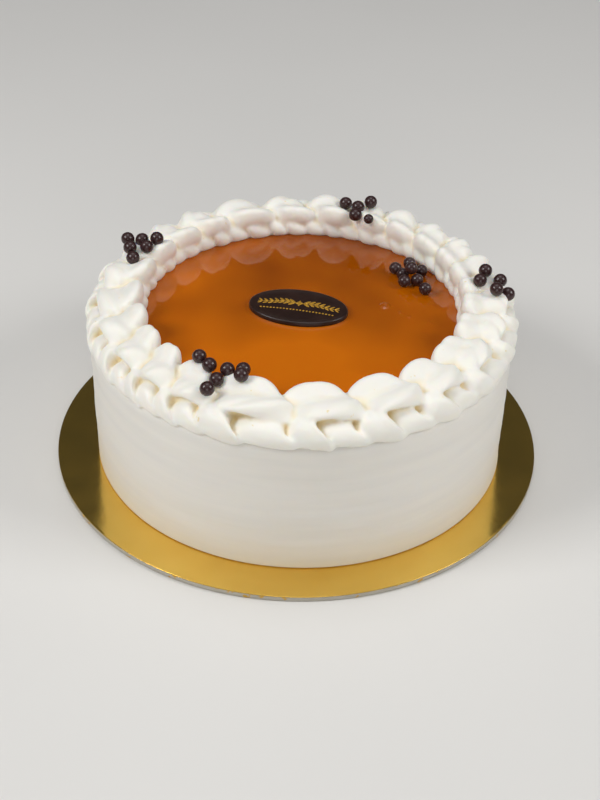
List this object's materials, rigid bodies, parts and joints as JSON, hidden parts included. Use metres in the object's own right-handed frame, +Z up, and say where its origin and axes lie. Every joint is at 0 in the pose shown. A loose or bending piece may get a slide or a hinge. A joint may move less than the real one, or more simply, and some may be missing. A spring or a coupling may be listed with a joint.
{
  "type": "caramel cake on board",
  "caption": "Round frosted caramel cake on a gold foil board, with a piped cream border, chocolate pearls and an oval chocolate plaque.",
  "frame": {"origin": "middle of the board's underside, on the surface that the board lies on", "axes": "+Z up through the cake, +X to the right and +Y to the back as seen from the front, which is the side with fewer and longer folds of cream"},
  "size_m": [0.24, 0.24, 0.0972],
  "materials": {
    "gold_foil": "mirror gold foil on cardboard, with a thin pale cut edge",
    "cream_frosting": "smooth matte white whipped cream, spread with a palette knife",
    "caramel": "glossy deep amber caramel glaze",
    "piped_cream": "soft white whipped cream, folded by the piping nozzle",
    "plaque_chocolate": "satin dark chocolate",
    "pearl_chocolate": "polished dark chocolate pearls"
  },
  "bodies": {
    "root": {"board": "gold_foil", "cake_body": "cream_frosting", "caramel_glaze": "caramel", "cream_border": "piped_cream", "plaque": "plaque_chocolate", "pearl_front_left_1": "pearl_chocolate", "pearl_front_left_2": "pearl_chocolate", "pearl_front_left_3": "pearl_chocolate", "pearl_front_left_4": "pearl_chocolate", "pearl_front_left_5": "pearl_chocolate", "pearl_front_left_6": "pearl_chocolate", "pearl_front_left_7": "pearl_chocolate", "pearl_back_left_1": "pearl_chocolate", "pearl_back_left_2": "pearl_chocolate", "pearl_back_left_3": "pearl_chocolate", "pearl_back_left_4": "pearl_chocolate", "pearl_back_left_5": "pearl_chocolate", "pearl_back_left_6": "pearl_chocolate", "pearl_back_1": "pearl_chocolate", "pearl_back_2": "pearl_chocolate", "pearl_back_3": "pearl_chocolate", "pearl_back_4": "pearl_chocolate", "pearl_back_small_1": "pearl_chocolate", "pearl_right_1": "pearl_chocolate", "pearl_right_2": "pearl_chocolate", "pearl_right_3": "pearl_chocolate", "pearl_right_4": "pearl_chocolate", "pearl_right_5": "pearl_chocolate", "pearl_glaze_1": "pearl_chocolate", "pearl_glaze_2": "pearl_chocolate", "pearl_glaze_3": "pearl_chocolate", "pearl_glaze_4": "pearl_chocolate", "pearl_glaze_5": "pearl_chocolate", "pearl_glaze_6": "pearl_chocolate", "pearl_glaze_7": "pearl_chocolate", "pearl_glaze_8": "pearl_chocolate"}
  },
  "joints": []
}
